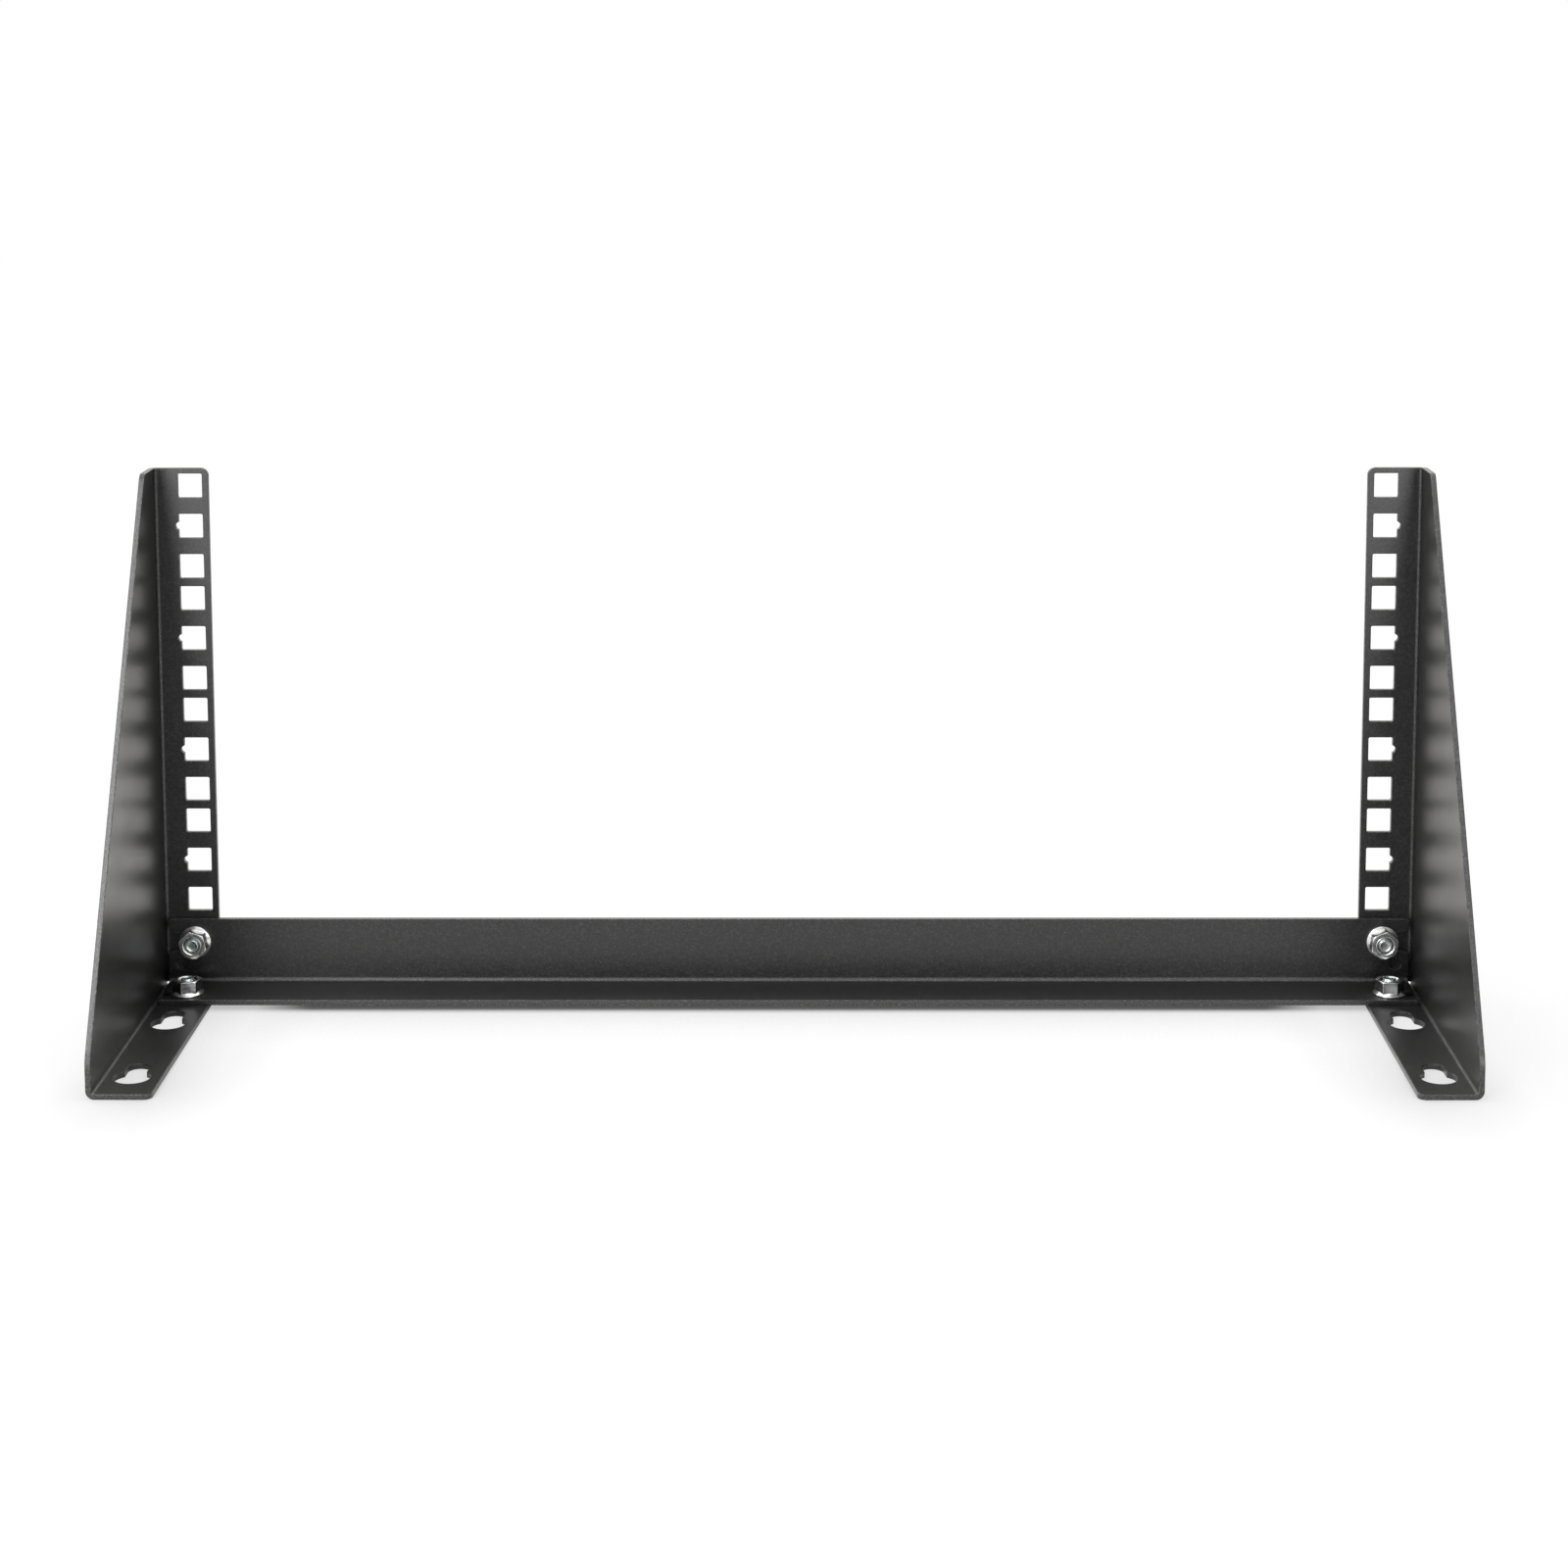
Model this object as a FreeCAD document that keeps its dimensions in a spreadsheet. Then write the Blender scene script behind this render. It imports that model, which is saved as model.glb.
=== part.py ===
import FreeCAD, Part
import math
import os
import re
import Sketcher

# Wall bracket frame for 19-inch equipment, four rack units high.
# Two folded side brackets, mirror images, are joined at the foot by a folded cross bar.
# Each bracket is one sheet: a tapered side plate, a rail flange with square holes for cage nuts,
# and a wall flange with keyholes. Flange nuts on welded studs hold the bar.
# X is across the frame, Y runs from the front edges to the rails' far faces, Z is up.
# The frame stands on its wall flanges, and the origin is under its middle.

doc = FreeCAD.newDocument("wall_bracket_frame")
sizes = doc.addObject("Spreadsheet::Sheet", "sizes")

# Driving dimensions, in millimetres, degrees or pieces.
DRIVING_SIZES = [
    ("column_spacing", 465.1, "between the two columns of square holes"),
    ("rail_hole_inset", 15.75, "from a side plate's outer face to the column"),
    ("total_depth", 125.0, "from the front edges to the rails' far faces"),
    ("sheet_thickness", 2.0, "of the side brackets"),
    ("bend_radius", 1.2, "inside every fold of a side bracket"),
    ("unit_height", 44.45, "one rack unit"),
    ("unit_count", 4, "rack units"),
    ("hole_margin", 6.35, "from a unit's edge to the nearest hole centre"),
    ("rack_base_height", 30.5, "from the wall to the edge of the lowest unit"),
    ("top_margin", 0.5, "rail beyond the highest unit"),
    ("square_hole_size", 9.5, "cage-nut hole, across its flats"),
    ("square_hole_radius", 0.6, "cage-nut hole, at its corners"),
    ("notch_diameter", 3.0, "half-round mark beside the middle hole of a unit"),
    ("notch_inset", 0.3, "from the square hole's side to the notch's centre"),
    ("rail_edge_margin", 2.4, "from the square holes to the rail's free edge"),
    ("wall_edge_margin", 3.95, "from the keyholes to the wall flange's free edge"),
    ("flange_gap", 0.5, "between the rail flange and the wall flange"),
    ("flange_corner_radius", 3.0, "at the free corners of both flanges"),
    ("relief_radius", 1.3, "of the hole where the two folds meet"),
    ("gusset_top_depth", 17.6, "side plate at its top"),
    ("gusset_front_height", 14.0, "upright front edge of the side plate"),
    ("gusset_top_radius", 3.5, "top front corner of the side plate"),
    ("gusset_blend_radius", 12.0, "where the slope meets the upright edge"),
    ("keyhole_diameter", 13.5, "for the screw's head"),
    ("keyhole_slot_width", 8.0, "for the screw's shank"),
    ("keyhole_travel", 10.2, "from the head's hole to the end of the slot, centre to centre"),
    ("keyhole_front_margin", 17.5, "from the front edge to the first keyhole"),
    ("keyhole_rear_margin", 49.0, "from the last keyhole to the rail's far face"),
    ("keyhole_count", 2, "keyholes in a flange"),
    ("keyhole_inset", 12.6, "from a side plate's outer face to the keyholes"),
    ("bar_thickness", 2.0, "of the cross bar's sheet"),
    ("bar_bend_radius", 1.5, "inside the cross bar's fold"),
    ("bar_height", 27.2, "upright leg, from the bar's underside"),
    ("bar_depth", 25.7, "flat leg, from the bar's far face"),
    ("bar_end_clearance", 0.1, "from the bar's end to the bracket's fold"),
    ("bar_corner_radius", 1.0, "at the free corners of both legs"),
    ("bar_slot_width", 7.2, "open slot over a stud"),
    ("slot_mouth_radius", 2.8, "at the mouth of an open slot"),
    ("small_hole_diameter", 5.0, "in the ends of the upright leg"),
    ("small_hole_height", 9.1, "above the bar's underside"),
    ("small_hole_margin", 5.2, "from the bar's end to the small hole"),
    ("stud_inset", 13.7, "from a side plate's outer face to its studs"),
    ("stud_offset", 18.0, "from the inner corner of the flanges to a stud"),
    ("thread_diameter", 6.0, "studs and nuts"),
    ("stud_proud", 0.4, "stud's end beyond its nut"),
    ("nut_across_flats", 10.0, "hexagon"),
    ("nut_height", 6.0, "with the flange"),
    ("nut_flange_diameter", 12.8, "washer face"),
    ("nut_flange_edge", 0.9, "height of the flange's rim"),
    ("nut_flange_rise", 0.9, "of the flange's cone, from its rim to the hexagon"),
    ("upper_left_turn", 43.0, "how far each hexagon happens to be turned"),
    ("upper_right_turn", 23.0, ""),
    ("lower_left_turn", 16.0, ""),
    ("lower_right_turn", 54.0, ""),
]

for row, (alias, number, note) in enumerate(DRIVING_SIZES, start=1):
    sizes.set("A%d" % row, alias.replace("_", " "))
    sizes.set("B%d" % row, str(number))
    sizes.set("C%d" % row, note)
    sizes.setAlias("B%d" % row, alias)
doc.recompute()

ALIASES = {alias for alias, _, _ in DRIVING_SIZES}


def sized(text):
    """Give an expression on the sheet's names in the form that the document reads."""
    def name(word):
        return "sizes." + word.group(0) if word.group(0) in ALIASES else word.group(0)
    return re.sub(r"[a-z_]+", name, text)


def value(text):
    """Work out an expression on the sheet's names."""
    return float(sizes.evalExpression(sized(text)))


# Two places closer than this are one place.
TOLERANCE = 0.001

# Lengths and places that more than one piece is built to.
HALF_WIDTH = "(column_spacing / 2 + rail_hole_inset)"
RAIL_HEIGHT = "(rack_base_height + unit_count * unit_height + top_margin)"
FOLD_REACH = "(sheet_thickness + bend_radius)"
RAIL_WIDTH = "(rail_hole_inset + square_hole_size / 2 + rail_edge_margin)"
WALL_WIDTH = "(keyhole_inset + keyhole_diameter / 2 + wall_edge_margin)"
STUD_X = "(column_spacing / 2 + rail_hole_inset - stud_inset)"
STUD_Z = "(sheet_thickness + stud_offset)"
BAR_HALF_LENGTH = "(%s - %s - bar_end_clearance)" % (HALF_WIDTH, FOLD_REACH)


# Sketch helpers. Every point is held by two distances from the sketch's origin.

def new_sketch(body, name, plane, distance="0"):
    """A sketch on one of the body's own planes, or parallel to it at a distance."""
    sketch = body.newObject("Sketcher::SketchObject", name)
    support = next(face for face in body.Origin.OriginFeatures if face.Role == plane)
    sketch.AttachmentSupport = [(support, "")]
    sketch.MapMode = "FlatFace"
    sketch.setExpression("AttachmentOffset.Base.z", sized(distance))
    return sketch


def point(x, y):
    return FreeCAD.Vector(value(x), value(y), 0)


def fix_point(sketch, geometry, end, x, y):
    for kind, text in (("DistanceX", x), ("DistanceY", y)):
        held = Sketcher.Constraint(kind, -1, 1, geometry, end, value(text))
        number = sketch.addConstraint(held)
        sketch.setExpression("Constraints[%d]" % number, sized(text))


def fix_radius(sketch, geometry, text):
    number = sketch.addConstraint(Sketcher.Constraint("Radius", geometry, value(text)))
    sketch.setExpression("Constraints[%d]" % number, sized(text))


def draw_polygon(sketch, corners):
    places = [point(x, y) for x, y in corners]
    ends = places[1:] + places[:1]
    lines = [sketch.addGeometry(Part.LineSegment(a, b)) for a, b in zip(places, ends)]
    for line, following in zip(lines, lines[1:] + lines[:1]):
        sketch.addConstraint(Sketcher.Constraint("Coincident", line, 2, following, 1))
    for line, (x, y) in zip(lines, corners):
        fix_point(sketch, line, 1, x, y)


def draw_angle(sketch, first_leg, second_leg, thickness, inner_radius):
    """Section of a folded sheet, its outer corner at the origin and rounded.

    The first leg lies along the sketch's x axis, the second along its y axis. A leg whose
    length has a minus sign runs the other way.
    """
    x_sign = "-" if first_leg.startswith("-") else ""
    y_sign = "-" if second_leg.startswith("-") else ""
    reach = "(%s + %s)" % (inner_radius, thickness)
    centre = (x_sign + reach, y_sign + reach)
    ends = [("0", second_leg), (x_sign + thickness, second_leg),
            (first_leg, y_sign + thickness), (first_leg, "0")]
    tangents = [("0", centre[1]), (x_sign + thickness, centre[1]),
                (centre[0], y_sign + thickness), (centre[0], "0")]
    outer_second, inner_second, inner_first, outer_first = [
        sketch.addGeometry(Part.LineSegment(point(*tangent), point(*end)))
        for tangent, end in zip(tangents, ends)]
    second_tip = sketch.addGeometry(Part.LineSegment(point(*ends[0]), point(*ends[1])))
    first_tip = sketch.addGeometry(Part.LineSegment(point(*ends[2]), point(*ends[3])))

    counter_clockwise = (x_sign == y_sign)
    start = math.atan2(-1 if y_sign == "" else 1, -1 if x_sign == "" else 1)
    quarter = math.pi / 4
    arcs = []
    for radius in (reach, inner_radius):
        circle = Part.Circle(point(*centre), FreeCAD.Vector(0, 0, 1), value(radius))
        arcs.append(sketch.addGeometry(Part.ArcOfCircle(circle, start - quarter, start + quarter)))
        fix_radius(sketch, arcs[-1], radius)
    outer_fold, inner_fold = arcs
    at_second, at_first = (1, 2) if counter_clockwise else (2, 1)
    for line, arc, end in ((outer_second, outer_fold, at_second), (outer_first, outer_fold, at_first),
                           (inner_second, inner_fold, at_second), (inner_first, inner_fold, at_first)):
        sketch.addConstraint(Sketcher.Constraint("Tangent", line, 1, arc, end))
    for tip, end, line in ((second_tip, 1, outer_second), (second_tip, 2, inner_second),
                           (first_tip, 1, inner_first), (first_tip, 2, outer_first)):
        sketch.addConstraint(Sketcher.Constraint("Coincident", tip, end, line, 2))
    fix_point(sketch, outer_fold, 3, *centre)
    sketch.addConstraint(Sketcher.Constraint("Coincident", outer_fold, 3, inner_fold, 3))
    for line, place in zip((outer_second, inner_second, inner_first, outer_first), ends):
        fix_point(sketch, line, 2, *place)


def draw_circle(sketch, x, y, diameter):
    radius = "(%s) / 2" % diameter
    circle = sketch.addGeometry(Part.Circle(point(x, y), FreeCAD.Vector(0, 0, 1), value(radius)))
    fix_point(sketch, circle, 3, x, y)
    fix_radius(sketch, circle, radius)


def draw_arc(sketch, x, y, radius, start_angle):
    """A half turn, counter-clockwise from the start angle, its centre and radius held."""
    circle = Part.Circle(point(x, y), FreeCAD.Vector(0, 0, 1), value(radius))
    start = math.radians(start_angle)
    arc = sketch.addGeometry(Part.ArcOfCircle(circle, start, start + math.pi))
    fix_point(sketch, arc, 3, x, y)
    return arc


def draw_slot(sketch, first, last, width):
    """A slot with two round ends, from the first centre to the last."""
    radius = "(%s) / 2" % width
    run = point(*last) - point(*first)
    heading = math.degrees(math.atan2(run.y, run.x))
    side = FreeCAD.Vector(-run.y, run.x, 0).normalize() * value(radius)
    near = draw_arc(sketch, first[0], first[1], radius, heading + 90)
    far = draw_arc(sketch, last[0], last[1], radius, heading - 90)
    right = sketch.addGeometry(Part.LineSegment(point(*first) - side, point(*last) - side))
    left = sketch.addGeometry(Part.LineSegment(point(*last) + side, point(*first) + side))
    joints = ((near, 2, right, 1), (right, 2, far, 1), (far, 2, left, 1), (left, 2, near, 1))
    for joint in joints:
        sketch.addConstraint(Sketcher.Constraint("Tangent", *joint))
    sketch.addConstraint(Sketcher.Constraint("Equal", near, far))
    fix_radius(sketch, near, radius)


def draw_rounded_square(sketch, x, y, size, radius):
    """A square with round corners, its centre held by two distances."""
    half = value(size) / 2
    round_off = value(radius)
    straight = half - round_off
    middle = point(x, y)
    geometry = []
    for quarter in range(4):
        turn = FreeCAD.Rotation(FreeCAD.Vector(0, 0, 1), 90 * quarter)
        start = middle + turn.multVec(FreeCAD.Vector(half, -straight, 0))
        end = middle + turn.multVec(FreeCAD.Vector(half, straight, 0))
        centre = middle + turn.multVec(FreeCAD.Vector(straight, straight, 0))
        circle = Part.Circle(centre, FreeCAD.Vector(0, 0, 1), round_off)
        angle = math.pi / 2 * quarter
        geometry.append(sketch.addGeometry(Part.LineSegment(start, end)))
        geometry.append(sketch.addGeometry(Part.ArcOfCircle(circle, angle, angle + math.pi / 2)))
    for shape, following in zip(geometry, geometry[1:] + geometry[:1]):
        sketch.addConstraint(Sketcher.Constraint("Tangent", shape, 2, following, 1))
    right, top, left, bottom = geometry[0::2]
    corners = geometry[1::2]
    for corner in corners[1:]:
        sketch.addConstraint(Sketcher.Constraint("Equal", corners[0], corner))
    fix_radius(sketch, corners[0], radius)
    sketch.addConstraint(Sketcher.Constraint("Vertical", right))
    for line, kind, place, step in ((right, "DistanceX", x, "+"), (left, "DistanceX", x, "-"),
                                    (top, "DistanceY", y, "+"), (bottom, "DistanceY", y, "-")):
        text = "%s %s %s / 2" % (place, step, size)
        held = Sketcher.Constraint(kind, -1, 1, line, 1, value(text))
        number = sketch.addConstraint(held)
        sketch.setExpression("Constraints[%d]" % number, sized(text))


# Feature helpers.

def pad(body, name, sketch, length):
    feature = body.newObject("PartDesign::Pad", name)
    feature.Profile = sketch
    feature.setExpression("Length", sized(length))
    return feature


def pocket(body, name, sketch, depth):
    """Cut from the sketch's plane into the piece, which lies on the side the plane faces."""
    feature = body.newObject("PartDesign::Pocket", name)
    feature.Profile = sketch
    feature.Reversed = True
    feature.setExpression("Length", sized(depth))
    return feature


def straight_edges(feature, along, **place):
    """Names of the straight edges along one axis that pass through a place given by the others."""
    names = []
    for number, edge in enumerate(feature.Shape.Edges, start=1):
        if edge.Curve.TypeId != "Part::GeomLine":
            continue
        first, last = edge.Vertexes[0].Point, edge.Vertexes[-1].Point
        run = last - first
        if abs(getattr(run, along)) < run.Length - TOLERANCE:
            continue
        if all(abs(getattr(first, axis) - value(text)) < TOLERANCE for axis, text in place.items()):
            names.append("Edge%d" % number)
    if not names:
        raise RuntimeError("no edge on %s along %s at %s" % (feature.Name, along, place))
    return names


def fillet(body, name, radius, along, *places):
    doc.recompute()
    base = body.Tip
    edges = [edge for place in places for edge in straight_edges(base, along, **place)]
    feature = body.newObject("PartDesign::Fillet", name)
    feature.Base = (base, edges)
    feature.setExpression("Radius", sized(radius))
    return feature


def place_body(body, x, y, z, turn=None):
    """Put a body in the frame, its origin's three coordinates held by the sheet."""
    if turn is not None:
        body.Placement = FreeCAD.Placement(FreeCAD.Vector(), turn)
    for axis, text in (("x", x), ("y", y), ("z", z)):
        body.setExpression("Placement.Base." + axis, sized(text))


# Side bracket. Its own origin is at the outer face's foot, on the rail's far face:
# x runs inwards, y is negative towards the front edge.

def add_folded_sheet(body):
    """The side plate with its two flanges, each one fold long and clear of the corner."""
    rail = new_sketch(body, "rail_fold_section", "XY_Plane", FOLD_REACH)
    draw_angle(rail, RAIL_WIDTH, "-total_depth", "sheet_thickness", "bend_radius")
    pad(body, "rail_fold", rail, RAIL_HEIGHT + " - " + FOLD_REACH)
    wall = new_sketch(body, "wall_fold_section", "XZ_Plane", FOLD_REACH)
    draw_angle(wall, WALL_WIDTH, "gusset_front_height", "sheet_thickness", "bend_radius")
    pad(body, "wall_fold", wall, "total_depth - " + FOLD_REACH)


def add_flange_ends(body):
    """Beyond the folds, the wall flange runs on under the rail flange, with a small gap."""
    foot = "sheet_thickness + flange_gap"
    rail = new_sketch(body, "rail_flange_outline", "XZ_Plane")
    draw_polygon(rail, [(FOLD_REACH, foot), (RAIL_WIDTH, foot),
                        (RAIL_WIDTH, RAIL_HEIGHT), (FOLD_REACH, RAIL_HEIGHT)])
    pad(body, "rail_flange", rail, "sheet_thickness")
    wall = new_sketch(body, "wall_flange_outline", "XY_Plane")
    draw_polygon(wall, [(FOLD_REACH, "-total_depth"), (WALL_WIDTH, "-total_depth"),
                        (WALL_WIDTH, "0"), (FOLD_REACH, "0")])
    pad(body, "wall_flange", wall, "sheet_thickness")


def cut_gusset_slope(body):
    """Take the side plate's front corner off, from the upright edge to the narrow top."""
    slope = new_sketch(body, "slope_outline", "YZ_Plane")
    draw_polygon(slope, [("-total_depth", "gusset_front_height"),
                         ("-gusset_top_depth", RAIL_HEIGHT), ("-total_depth", RAIL_HEIGHT)])
    pocket(body, "slope", slope, "sheet_thickness")


def add_relief(body):
    """The hole at the corner where both folds end, seen on each of the three walls."""
    corner = {"YZ_Plane": ("-sheet_thickness", "sheet_thickness"),
              "XZ_Plane": ("sheet_thickness", "sheet_thickness"),
              "XY_Plane": ("sheet_thickness", "-sheet_thickness")}
    for plane, (x, y) in corner.items():
        sketch = new_sketch(body, "relief_on_" + plane[:2].lower(), plane)
        draw_circle(sketch, x, y, "2 * relief_radius")
        pocket(body, "relief_cut_on_" + plane[:2].lower(), sketch, FOLD_REACH)


def round_bracket_corners(body):
    fillet(body, "gusset_top_corner", "gusset_top_radius", "x",
           {"y": "-gusset_top_depth", "z": RAIL_HEIGHT})
    fillet(body, "gusset_blend", "gusset_blend_radius", "x",
           {"y": "-total_depth", "z": "gusset_front_height"})
    fillet(body, "rail_corners", "flange_corner_radius", "y",
           {"x": RAIL_WIDTH, "z": RAIL_HEIGHT},
           {"x": RAIL_WIDTH, "z": "sheet_thickness + flange_gap"})
    fillet(body, "wall_flange_corners", "flange_corner_radius", "z",
           {"x": WALL_WIDTH, "y": "-total_depth"},
           {"x": WALL_WIDTH, "y": "0"})


def add_rack_holes(body):
    """Three square holes in each unit, the middle one marked by a notch, in rising units."""
    lowest = "rack_base_height + hole_margin"
    middle = "rack_base_height + unit_height / 2"
    highest = "rack_base_height + unit_height - hole_margin"
    squares = new_sketch(body, "unit_holes_outline", "XZ_Plane")
    for height in (lowest, middle, highest):
        draw_rounded_square(squares, "rail_hole_inset", height, "square_hole_size", "square_hole_radius")
    holes = pocket(body, "unit_holes", squares, "sheet_thickness")
    mark = new_sketch(body, "unit_notch_outline", "XZ_Plane")
    draw_circle(mark, "rail_hole_inset - square_hole_size / 2 + notch_inset", middle, "notch_diameter")
    notch = pocket(body, "unit_notch", mark, "sheet_thickness")
    doc.recompute()
    units = body.newObject("PartDesign::LinearPattern", "rack_units")
    units.Originals = [holes, notch]
    units.Direction = (mark, ["V_Axis"])
    units.Mode = "Spacing"
    units.setExpression("Offset", sized("unit_height"))
    units.setExpression("Occurrences", sized("unit_count"))
    body.Tip = units


def add_keyholes(body):
    """Keyholes for wall screws: the head's hole is towards the front, the slot runs to the rail."""
    start = "keyhole_front_margin - total_depth"
    heads = new_sketch(body, "keyhole_head_outline", "XY_Plane")
    draw_circle(heads, "keyhole_inset", start, "keyhole_diameter")
    head = pocket(body, "keyhole_head", heads, "sheet_thickness")
    slots = new_sketch(body, "keyhole_slot_outline", "XY_Plane")
    draw_slot(slots, ("keyhole_inset", start), ("keyhole_inset", start + " + keyhole_travel"),
              "keyhole_slot_width")
    slot = pocket(body, "keyhole_slot", slots, "sheet_thickness")
    doc.recompute()
    pair = body.newObject("PartDesign::LinearPattern", "keyholes")
    pair.Originals = [head, slot]
    pair.Direction = (slots, ["V_Axis"])
    pair.Mode = "Spacing"
    between = "total_depth - keyhole_front_margin - keyhole_rear_margin"
    pair.setExpression("Offset", sized("(%s) / (keyhole_count - 1)" % between))
    pair.setExpression("Occurrences", sized("keyhole_count"))
    body.Tip = pair


def build_left_bracket():
    body = doc.addObject("PartDesign::Body", "left_side_bracket")
    add_folded_sheet(body)
    add_flange_ends(body)
    cut_gusset_slope(body)
    add_relief(body)
    round_bracket_corners(body)
    add_rack_holes(body)
    add_keyholes(body)
    place_body(body, "-" + HALF_WIDTH, "total_depth / 2", "0")
    return body


def build_right_bracket(left_bracket):
    """The other hand of the same pressing, mirrored across the frame's middle plane."""
    mirrored = doc.addObject("Part::Mirroring", "right_side_bracket")
    mirrored.Source = left_bracket
    mirrored.Normal = FreeCAD.Vector(1, 0, 0)
    return mirrored


# Cross bar. Its own origin is at its middle, on its far face and underside.

def open_slot(body, name, plane, across):
    """A slot that runs from a stud out through the bar's left end."""
    sketch = new_sketch(body, name + "_outline", plane)
    stud = "-" + STUD_X
    beyond = "-" + BAR_HALF_LENGTH + " - bar_slot_width"
    draw_slot(sketch, (beyond, across), (stud, across), "bar_slot_width")
    return pocket(body, name, sketch, "bar_thickness")


def build_cross_bar():
    body = doc.addObject("PartDesign::Body", "cross_bar")
    section = new_sketch(body, "angle_section", "YZ_Plane")
    draw_angle(section, "-bar_depth", "bar_height", "bar_thickness", "bar_bend_radius")
    angle = pad(body, "angle", section, "2 * " + BAR_HALF_LENGTH)
    angle.SideType = "Symmetric"

    upright_slot = open_slot(body, "upright_slot", "XZ_Plane", "stud_offset")
    flat_slot = open_slot(body, "flat_slot", "XY_Plane", "-stud_offset")
    outline = new_sketch(body, "small_hole_outline", "XZ_Plane")
    draw_circle(outline, "small_hole_margin - " + BAR_HALF_LENGTH, "small_hole_height",
                "small_hole_diameter")
    small_hole = pocket(body, "small_hole", outline, "bar_thickness")
    doc.recompute()
    ends = body.newObject("PartDesign::Mirrored", "both_ends")
    ends.Originals = [upright_slot, flat_slot, small_hole]
    ends.MirrorPlane = (outline, ["V_Axis"])
    body.Tip = ends

    tips = ("-" + BAR_HALF_LENGTH, BAR_HALF_LENGTH)
    above, below = "stud_offset + bar_slot_width / 2", "stud_offset - bar_slot_width / 2"
    fillet(body, "upright_mouths", "slot_mouth_radius", "y",
           *[{"x": tip, "z": side} for tip in tips for side in (above, below)])
    fillet(body, "flat_mouths", "slot_mouth_radius", "z",
           *[{"x": tip, "y": "-(%s)" % side} for tip in tips for side in (above, below)])
    fillet(body, "upright_corners", "bar_corner_radius", "y",
           *[{"x": tip, "z": "bar_height"} for tip in tips])
    fillet(body, "flat_corners", "bar_corner_radius", "z",
           *[{"x": tip, "y": "-bar_depth"} for tip in tips])
    place_body(body, "0", "total_depth / 2 - sheet_thickness", "sheet_thickness")
    return body


# Fasteners. Each stands on its own z axis.

def build_nut(label):
    """Hexagon nut with a washer flange in one piece."""
    body = doc.addObject("PartDesign::Body", label)
    sketch = new_sketch(body, "hexagon_outline", "XY_Plane")
    sketch.AttachmentOffset = FreeCAD.Placement(FreeCAD.Vector(), FreeCAD.Rotation(0.1, 0, 0))
    sketch.setExpression("AttachmentOffset.Rotation.Angle", sized(label.replace("nut", "turn")))
    tip = "nut_across_flats / sqrt(3)"
    shoulder = "nut_across_flats / sqrt(12)"
    flat = "nut_across_flats / 2"
    draw_polygon(sketch, [(tip, "0"), (shoulder, flat), ("-" + shoulder, flat),
                          ("-" + tip, "0"), ("-" + shoulder, "-" + flat), (shoulder, "-" + flat)])
    pad(body, "hexagon", sketch, "nut_height")

    rim, cone_top = "nut_flange_diameter / 2", "nut_flange_edge + nut_flange_rise"
    section = new_sketch(body, "flange_outline", "XZ_Plane")
    draw_polygon(section, [("0", "0"), (rim, "0"), (rim, "nut_flange_edge"),
                           (flat, cone_top), ("0", cone_top)])
    flange = body.newObject("PartDesign::Revolution", "flange")
    flange.Profile = section
    flange.ReferenceAxis = (section, ["V_Axis"])
    flange.Angle = 360
    bore = new_sketch(body, "thread_outline", "XY_Plane")
    draw_circle(bore, "0", "0", "thread_diameter")
    pocket(body, "thread", bore, "nut_height")
    return body


def build_stud(label):
    """Stud on a flange's inner face, through the bar's slot and the nut."""
    body = doc.addObject("PartDesign::Body", label)
    sketch = new_sketch(body, "shank_outline", "XY_Plane")
    draw_circle(sketch, "0", "0", "thread_diameter")
    pad(body, "shank", sketch, "bar_thickness + nut_height + stud_proud")
    return body


def build_fasteners():
    """Two studs and nuts on each bracket: one through the rail flange, one through the wall flange."""
    towards_front = FreeCAD.Rotation(FreeCAD.Vector(1, 0, 0), 90)
    pieces = []
    for hand, sign in (("left", "-"), ("right", "")):
        x = sign + STUD_X
        upper_nut = build_nut("upper_%s_nut" % hand)
        place_body(upper_nut, x, "total_depth / 2 - sheet_thickness - bar_thickness", STUD_Z,
                   towards_front)
        upper_stud = build_stud("upper_%s_stud" % hand)
        place_body(upper_stud, x, "total_depth / 2 - sheet_thickness", STUD_Z, towards_front)
        lower_nut = build_nut("lower_%s_nut" % hand)
        lower_y = "total_depth / 2 - " + STUD_Z
        place_body(lower_nut, x, lower_y, "sheet_thickness + bar_thickness")
        lower_stud = build_stud("lower_%s_stud" % hand)
        place_body(lower_stud, x, lower_y, "sheet_thickness")
        pieces += [upper_nut, upper_stud, lower_nut, lower_stud]
    return pieces


# Checks before anything is written.

def check_document():
    doc.recompute()
    for item in doc.Objects:
        if "Invalid" in item.State or "Error" in item.State:
            raise RuntimeError("%s failed: %s" % (item.Label, item.State))
        if item.TypeId == "PartDesign::Pocket":
            removed = item.BaseFeature.Shape.Volume - item.Shape.Volume
            if removed < TOLERANCE:
                raise RuntimeError("%s cuts nothing" % item.Label)


def write_piece(piece):
    shape = piece.Shape
    if shape.isNull() or not shape.isValid() or not shape.Solids:
        raise RuntimeError("%s has no sound solid" % piece.Label)
    box = shape.BoundBox
    print("%-20s %d solid, %9.1f mm3, x %.1f to %.1f, y %.1f to %.1f, z %.1f to %.1f"
          % (piece.Label, len(shape.Solids), shape.Volume, box.XMin, box.XMax,
             box.YMin, box.YMax, box.ZMin, box.ZMax))
    shape.exportStep("parts/%s.step" % piece.Label)


left_bracket = build_left_bracket()
right_bracket = build_right_bracket(left_bracket)
pieces = [left_bracket, right_bracket, build_cross_bar()] + build_fasteners()
check_document()
os.makedirs("parts", exist_ok=True)
for piece in pieces:
    write_piece(piece)
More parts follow.
